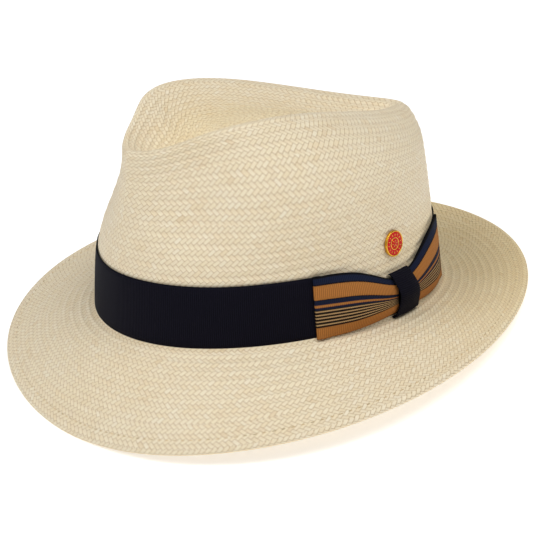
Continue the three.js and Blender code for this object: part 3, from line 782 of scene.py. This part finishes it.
def bow_knot():
    high, bulge = KNOT_HEIGHT, KNOT_BULGE
    route, length = smooth_curve((
        (high, 0.9), (high + 0.3, 0.3 * bulge), (high - 2, 0.62 * bulge),
        (0.54 * high, bulge + 1.3), (2.5, 0.68 * bulge), (0, 0.38 * bulge), (0.3, 0.9),
    ), 120)
    share = np.linspace(-0.5, 0.5, 45)[:, None]
    rise, out = route[None, :, 0], route[None, :, 1]
    off_the_ends = np.sin(np.pi * np.linspace(0, 1, len(length)))[None, :]
    fold = (0.10 * np.sin(share * 11 + 1.2) - 1.1 * np.abs(share * 2) ** 4) * off_the_ends
    pinched = np.sin(np.pi * np.clip(rise / high, 0, 1))
    width = KNOT_WIDTH + KNOT_FLARE * (0.5 - rise / high) - 1.6 * pinched
    lean = -2.4 * (rise / high - 0.5) + 0.5 * pinched
    t = KNOT_ANGLE + (share * width + lean) / arc_per_radian(KNOT_ANGLE)
    middle = wall_points(t, rise, out + fold)
    solid = sheet_solid(middle, KNOT_THICKNESS, length[None, :], share + 0.5)
    piece = make_piece("bow_knot_ribbon", *solid)
    finish_piece(piece, "hat", navy_ribbon, "bow_knot")


bow_knot()

# ---- Stitches: short capsules of thread ------------------------------------------------------

# Along each bar of thread, as shares of its length, and how thick it is there.
THREAD_STATIONS = ((-0.5, 0.25), (-0.42, 0.8), (-0.2, 1.0), (0.2, 1.0), (0.42, 0.8), (0.5, 0.25))
THREAD_SIDES = 7


def capsule(centre, along, up, length, radius):
    """Points and faces of one rounded bar of thread."""
    side = unit(np.cross(along, up))
    up = np.cross(side, along)
    points = []
    for share, fat in THREAD_STATIONS:
        for turn in TAU * np.arange(THREAD_SIDES) / THREAD_SIDES:
            points.append(centre + along * (share * length)
                          + (side * math.cos(turn) + up * math.sin(turn)) * radius * fat)
    return points, capped_rings(len(THREAD_STATIONS), THREAD_SIDES)


def stitches(name, material, bars, node):
    points, faces = joined(capsule(*bar) for bar in bars)
    finish_piece(make_piece(name, points, faces), "hat", material, node)


def thread_material(name, color):
    n = Nodes(name)
    twist = n.noise(n.place(), 2600.0, 2.0)
    fleck = n.noise(n.place(), 240.0, 2.0)
    shade = n.mix(n.smooth(fleck, 0.35, 0.7), color, tuple(c * 0.62 for c in color))
    n.bump(twist, 0.06 * MM, 0.7)
    return n.finish(Base_Color=shade, Roughness=0.7, Sheen_Weight=0.2)


straw_thread = thread_material("straw_thread", srgb(226, 200, 152))
dark_thread = thread_material("dark_thread", srgb(22, 24, 40))


def hem_stitches():
    """Two rows, half a stitch apart: on top of the hem, and longer ones under it."""
    bars = []
    m = np.full(HEM_STITCHES, HEM_AT)
    for start, depth, length, up in ((0.0, -0.02, 2.0, 1), (0.5, 2.55, 2.6, -1)):
        t = TAU * (np.arange(HEM_STITCHES) + start) / HEM_STITCHES
        normal, _ = surface_frames(straw_points, t, m)
        centre = straw_points(t, m) - normal * depth
        along = unit(straw_points(t + 0.004, m) - straw_points(t - 0.004, m))
        bars += [(c, a, u * up, length, 0.24) for c, a, u in zip(centre, along, normal)]
    stitches("brim_hem_stitches", straw_thread, bars, "brim_hem_thread")


hem_stitches()


def band_tacks():
    """One upright stitch each, from the hatband over its top edge into the straw."""
    for side, degrees in TACKS.items():
        t = rad(degrees)
        low, high = wall_points(t, BAND_TOP - 1.0, 1.05), wall_points(t, BAND_TOP + 0.7, 0.25)
        middle = (low + high) / 2
        up = wall_points(t, BAND_TOP, 2.0) - middle
        bar = (middle, unit(high - low), unit(up), float(np.linalg.norm(high - low)), 0.2)
        stitches(f"hatband_tack_{side}_stitch", dark_thread, [bar],
                 f"hatband_tack_{side}")


band_tacks()

# ---- Sweatband, reed, label and rear bow inside the crown ------------------------------------


def leather_material():
    n = Nodes("sweatband_leather")
    u, v = n.uv()
    pebble = n.new("ShaderNodeTexVoronoi", Vector=n.place(), Scale=1300.0).outputs["Distance"]
    broad = n.noise(n.place(), 40.0, 3.0)
    color = n.mix(n.smooth(broad, 0.3, 0.75), srgb(150, 98, 58), srgb(172, 118, 74))
    worn = n.smooth(v, 0.90, 0.99)
    color = n.mix(n.mul(worn, 0.55), color, srgb(112, 70, 40))
    color = n.mix(n.mul(n.smooth(pebble, 0.25, 0.6), 0.25), color, srgb(110, 68, 38))
    creases = n.noise(n.vector(n.mul(u, 0.09), n.mul(v, 14.0), 0.0), 1.0, 4.0, 0.6)
    n.bump(n.add(n.mul(pebble, -0.5), n.mul(creases, 0.7)), 0.12 * MM, 0.8)
    return n.finish(Base_Color=color, Roughness=n.add(0.38, n.mul(broad, 0.2)), Coat_Weight=0.06)


leather = leather_material()


def sweatband():
    t = round_the_head(math.pi, 520)[None, :]
    share = np.linspace(0, 1, 16)[:, None]
    ripple = 0.16 * np.sin(9 * t + 0.6) * share + 0.10 * np.sin(23 * t) * share**2
    roll = -0.35 * share**6
    middle = wall_points(t, SWEATBAND_LIFT + share * SWEATBAND_HEIGHT,
                         SWEATBAND_MIDDLE + ripple + roll)
    u = path_lengths(middle[len(share) // 2])
    solid = sheet_solid(middle, SWEATBAND_THICKNESS, u[None, :], share)
    piece = make_piece("sweatband_leather_strip", *solid)
    finish_piece(piece, "hat", leather, "sweatband")


sweatband()


def reed_material():
    n = Nodes("reed_cord")
    winding = n.math("SINE", n.mul(n.noise(n.place(), 900.0, 1.0), 9.0))
    tone = n.noise(n.place(), 60.0, 2.0)
    color = n.mix(tone, srgb(226, 218, 198), srgb(208, 196, 170))
    n.bump(winding, 0.05 * MM, 0.5)
    return n.finish(Base_Color=color, Roughness=0.55)


def reed():
    columns, sides = 400, 14
    t = (TAU * np.arange(columns) / columns)[None, :]
    turn = (TAU * np.arange(sides + 1) / sides)[:, None]
    points = wall_points(t, 0.0, SWEATBAND_INSIDE + REED_RADIUS * np.cos(turn))
    points[..., 2] += REED_RISE + REED_RADIUS * np.sin(turn)
    faces = ring_faces(sides + 1, columns)[0].tolist()
    piece = make_piece("sweatband_reed_cord", points.reshape(-1, 3), faces)
    finish_piece(piece, "hat", reed_material(), "sweatband_reed")


reed()


def seam_stitches():
    t = TAU * (np.arange(SEAM_STITCHES) + 0.5) / SEAM_STITCHES
    rise, out = SEAM_LIFT, SWEATBAND_INSIDE - 0.05
    centre = wall_points(t, rise, out)
    along = unit(wall_points(t + 0.01, rise, out) - wall_points(t - 0.01, rise, out))
    up = unit(wall_points(t, rise, out - 1) - centre)
    bars = [(c, a, u, 2.1, 0.22) for c, a, u in zip(centre, along, up)]
    stitches("sweatband_seam_stitches", straw_thread, bars, "sweatband_thread")


seam_stitches()


def inner_patch(name, node, material, angle, size, lift, proud, thickness, puff, shape=None):
    """A small strip laid on the sweatband's inside. size is (width round the head, height)."""
    width, height = size
    u = np.linspace(0, 1, 60)[None, :]
    v = np.linspace(0, 1, 24)[:, None]
    narrow = shape(u) if shape else 1.0
    t = angle + (u - 0.5) * width / arc_per_radian(angle)
    rise = lift + height * (0.5 + (v - 0.5) * narrow)
    middle = wall_points(t, rise, SWEATBAND_INSIDE - proud - puff(u, v))
    piece = make_piece(name, *sheet_solid(middle, thickness, u * width, v))
    return finish_piece(piece, "hat", material, node)


def label_material():
    n = Nodes("label_cloth")
    u, v = n.uv()
    weft = n.math("SINE", n.mul(v, TAU * 46.0))
    warp = n.math("SINE", n.mul(u, TAU / 0.28))
    edge = n.math("MAXIMUM", n.smooth(v, 0.90, 0.93), n.smooth(v, 0.10, 0.07))
    side = n.math("MAXIMUM", n.smooth(u, 22.4, 22.8), n.smooth(u, 1.6, 1.2))
    border = n.math("MAXIMUM", edge, side)
    color = n.mix(n.mul(border, 0.8), srgb(236, 230, 214), srgb(60, 66, 96))
    n.bump(n.mul(weft, warp), 0.06 * MM, 0.7)
    return n.finish(Base_Color=color, Roughness=0.8, Sheen_Weight=0.2)


def bow_shape(u):
    return 0.32 + 0.68 * np.abs(2 * u - 1) ** 0.7


def bow_puff(u, v):
    loops = np.sin(np.pi * np.abs(2 * u - 1)) * np.sin(np.pi * v)
    return 0.9 * loops + 0.9 * np.exp(-(((u - 0.5) / 0.07) ** 2))


def inside_trim():
    tape = inner_patch(
        "sweatband_rear_tape_strip", "sweatband_rear_tape", leather,
        math.pi, size=(10, 29), lift=5, proud=0.45, thickness=0.5,
        puff=lambda u, v: 0.25 * np.sin(np.pi * u))
    label = inner_patch(
        "size_label_woven", "size_label", label_material(),
        rad(197), size=(24, 13), lift=12, proud=0.35, thickness=0.3,
        puff=lambda u, v: 0.35 * np.sin(np.pi * u) ** 2 * (0.4 + 0.6 * v))
    bow = inner_patch(
        "sweatband_rear_bow_ribbon", "sweatband_rear_bow", navy_ribbon,
        math.pi, size=(18, 10), lift=6, proud=1.5, thickness=0.5, puff=bow_puff, shape=bow_shape)


inside_trim()

# ---- Pin -------------------------------------------------------------------------------------

badge_seat = wall_points(BADGE_ANGLE, BADGE_HEIGHT, BADGE_OUT)
badge_axis = unit(wall_points(BADGE_ANGLE, BADGE_HEIGHT, BADGE_OUT + 1) - badge_seat)
badge_side = unit(np.cross(np.array((0.0, 0.0, 1.0)), badge_axis))
badge_up = np.cross(badge_axis, badge_side)


def on_pin(x, y, z):
    """Points in the pin's own frame, z out of the crown, put on the hat."""
    x, y, z = (np.asarray(a, float)[..., None] for a in (x, y, z))
    return badge_seat + badge_side * x + badge_up * y + badge_axis * z


def lathe(profile, segments=96):
    """Points and faces of a closed profile of (radius, height) turned about the pin's axis."""
    radius, height = np.asarray(profile, float).T[:, :, None]
    turn = TAU * np.arange(segments) / segments
    points = on_pin(radius * np.cos(turn), radius * np.sin(turn), height + 0 * turn)
    faces = ring_faces(len(profile), segments)[0].tolist()
    return list(points.reshape(-1, 3)), faces


def petal(angle, radius, length, width, low, high):
    """A small domed leaf lying on the pin's face, its long side along the radius."""
    rings, sides = ((1.0, low), (0.86, high - 0.05), (0.45, high)), 12
    points = []
    for share, z in rings:
        for turn in TAU * np.arange(sides) / sides:
            x = radius + share * length / 2 * math.cos(turn)
            y = share * width / 2 * math.sin(turn)
            points.append(on_pin(x * math.cos(angle) - y * math.sin(angle),
                                 x * math.sin(angle) + y * math.cos(angle), z))
    return points, capped_rings(len(rings), sides)


def metal_material(name, color, rough):
    n = Nodes(name)
    fine = n.noise(n.place(), 1800.0, 3.0)
    broad = n.noise(n.place(), 160.0, 2.0)
    tone = n.mix(n.mul(n.smooth(broad, 0.4, 0.8), 0.35), color, tuple(c * 0.6 for c in color))
    n.bump(fine, 0.01 * MM, 0.4)
    return n.finish(Base_Color=tone, Metallic=1.0, Roughness=n.add(rough, n.mul(fine, 0.12)))


def enamel_material():
    n = Nodes("red_enamel")
    swirl = n.noise(n.place(), 420.0, 2.0)
    color = n.mix(swirl, srgb(190, 8, 8), srgb(208, 16, 14))
    n.bump(swirl, 0.02 * MM, 0.25)
    return n.finish(Base_Color=color, Roughness=0.22, Specular_IOR_Level=0.12)


brass = metal_material("pin_brass", srgb(226, 172, 62), 0.2)
steel = metal_material("spring_steel", srgb(188, 190, 194), 0.28)

ENAMEL_LOW, ENAMEL_TOP, ENAMEL_GAP = BADGE_FLOOR + 0.08, BADGE_FACE - 0.1, 0.02
PETAL_LOW = BADGE_FACE - 0.18
# How many petals, their place and length along the radius, their width, and their top.
PETALS = ((14, 4.95, 1.7, 0.42, BADGE_FACE + 0.02), (6, 1.45, 1.5, 0.42, BADGE_FACE + 0.04))


def badge_base():
    """A post with a groove, a dished disc with a rounded rim, a ring in it, and petals."""
    edge, inside, floor = BADGE_RADIUS, BADGE_RADIUS - BADGE_RIM, BADGE_FLOOR
    post, tip, top = POST_RADIUS, -POST_LENGTH, BADGE_FACE
    disc = lathe((
        (0, tip), (0.2, tip + 0.05), (0.35, tip + 0.2), (post, tip + 0.8), (post, -5.2),
        (post - 0.1, -5.0), (post - 0.1, -4.6), (post, -4.4), (post, 0),
        (edge - 0.4, 0), (edge - 0.15, 0.08), (edge - 0.02, 0.3), (edge, 0.6), (edge, 1.2),
        (edge - 0.06, 1.42), (edge - 0.22, 1.56), (edge - 0.4, top), (edge - 0.58, 1.58),
        (inside, 1.5), (inside, floor),
        (RING_RADIUS + 0.2, floor), (RING_RADIUS + 0.2, 1.55), (RING_RADIUS + 0.14, top),
        (RING_RADIUS - 0.14, top), (RING_RADIUS - 0.2, 1.55), (RING_RADIUS - 0.2, floor),
        (0, floor),
    ))
    leaves = [
        petal(TAU * k / count, radius, length, width, PETAL_LOW, high)
        for count, radius, length, width, high in PETALS for k in range(count)
    ]
    piece = make_piece("badge_base_brass", *joined([disc, *leaves]))
    finish_piece(piece, "badge", brass, "badge_base")


def badge_enamel():
    enamel = enamel_material()
    low, top = ENAMEL_LOW, ENAMEL_TOP
    outer = BADGE_RADIUS - BADGE_RIM - ENAMEL_GAP
    inner = RING_RADIUS + 0.2 + ENAMEL_GAP
    ring = lathe((
        (inner, low), (outer, low), (outer, top - 0.06), (outer - 0.12, top), (inner + 0.12, top),
        (inner, top - 0.06), (inner, low),
    ))
    piece = make_piece("badge_enamel_ring_glass", *ring)
    finish_piece(piece, "badge", enamel, "badge_enamel_ring")
    outer = RING_RADIUS - 0.2 - ENAMEL_GAP
    centre = lathe((
        (0, low), (outer, low), (outer, top - 0.06), (outer - 0.12, top), (0, top + 0.02),
    ))
    piece = make_piece("badge_enamel_centre_glass", *centre)
    finish_piece(piece, "badge", enamel, "badge_enamel_centre")


badge_base()
badge_enamel()


def clutch():
    """An open shell with rolled edges and a hole for the post."""
    top = -(BADGE_OUT + STRAW + CLUTCH_STAND_OFF)
    low, edge, inside = top - CLUTCH_HEIGHT, CLUTCH_RADIUS, CLUTCH_RADIUS - CLUTCH_WALL
    shell = lathe((
        (CLUTCH_BORE, top), (1.3, top), (edge - 0.7, top), (edge - 0.3, top - 0.08),
        (edge - 0.06, top - 0.28), (edge, top - 0.6), (edge, low + 0.5), (edge - 0.06, low + 0.1),
        (edge - 0.25, low), (edge - 0.42, low + 0.1), (inside, low + 0.3),
        (inside, top - CLUTCH_WALL), (CLUTCH_BORE, top - CLUTCH_WALL), (CLUTCH_BORE, top),
    ))
    piece = make_piece("clutch_shell_brass", *shell)
    finish_piece(piece, "clutch", brass, "clutch_shell")


clutch()

for node in ("clutch_spring", "brim_wire"):
    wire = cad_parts[node].data.materials
    wire.clear()
    wire.append(steel)

# ---- Floor, light and world ------------------------------------------------------------------

FLOOR_SIZE, FLOOR_GLOW = 8, 0.46
WORLD_STRENGTH = 0.2
# Each light: azimuth and elevation in degrees, and watts.
LIGHT_DISTANCE, LIGHT_SIZE, LIGHT_AIM = 1.7, 1.0, Vector((0, 0, 0.06))
LIGHTS = {"key": (-8, 60, 13.0), "left": (80, 60, 2.4), "back": (122, 60, 12.0),
          "rim": (-75, 30, 0.7)}


def make_floor():
    bpy.ops.mesh.primitive_plane_add(size=FLOOR_SIZE)
    floor = bpy.context.active_object
    floor.name = "floor"
    n = Nodes("floor")
    tone = n.noise(n.place(), 3.0, 2.0)
    floor.data.materials.append(n.finish(
        Base_Color=n.mix(tone, (0.88, 0.88, 0.88), (0.9, 0.9, 0.9)), Roughness=0.9,
        Emission_Color=(1.0, 1.0, 1.0), Emission_Strength=FLOOR_GLOW))


def area_light(name, azimuth, elevation, power):
    direction = Vector((
        math.sin(azimuth) * math.cos(elevation),
        -math.cos(azimuth) * math.cos(elevation),
        math.sin(elevation),
    ))
    light = bpy.data.lights.new(name, "AREA")
    light.size, light.energy = LIGHT_SIZE, power
    holder = bpy.data.objects.new(name, light)
    bpy.context.scene.collection.objects.link(holder)
    turn = direction.to_track_quat("Z", "Y").to_matrix().to_4x4()
    holder.matrix_world = Matrix.Translation(direction * LIGHT_DISTANCE + LIGHT_AIM) @ turn


def make_world():
    world = bpy.data.worlds.new("world")
    bpy.context.scene.world = world
    world.use_nodes = True
    color, strength = world.node_tree.nodes["Background"].inputs[:2]
    color.default_value, strength.default_value = (1, 1, 1, 1), WORLD_STRENGTH
    bpy.context.scene.view_settings.view_transform = "Standard"


make_floor()
for name, (azimuth, elevation, power) in LIGHTS.items():
    area_light(name, rad(azimuth), rad(elevation), power)
make_world()
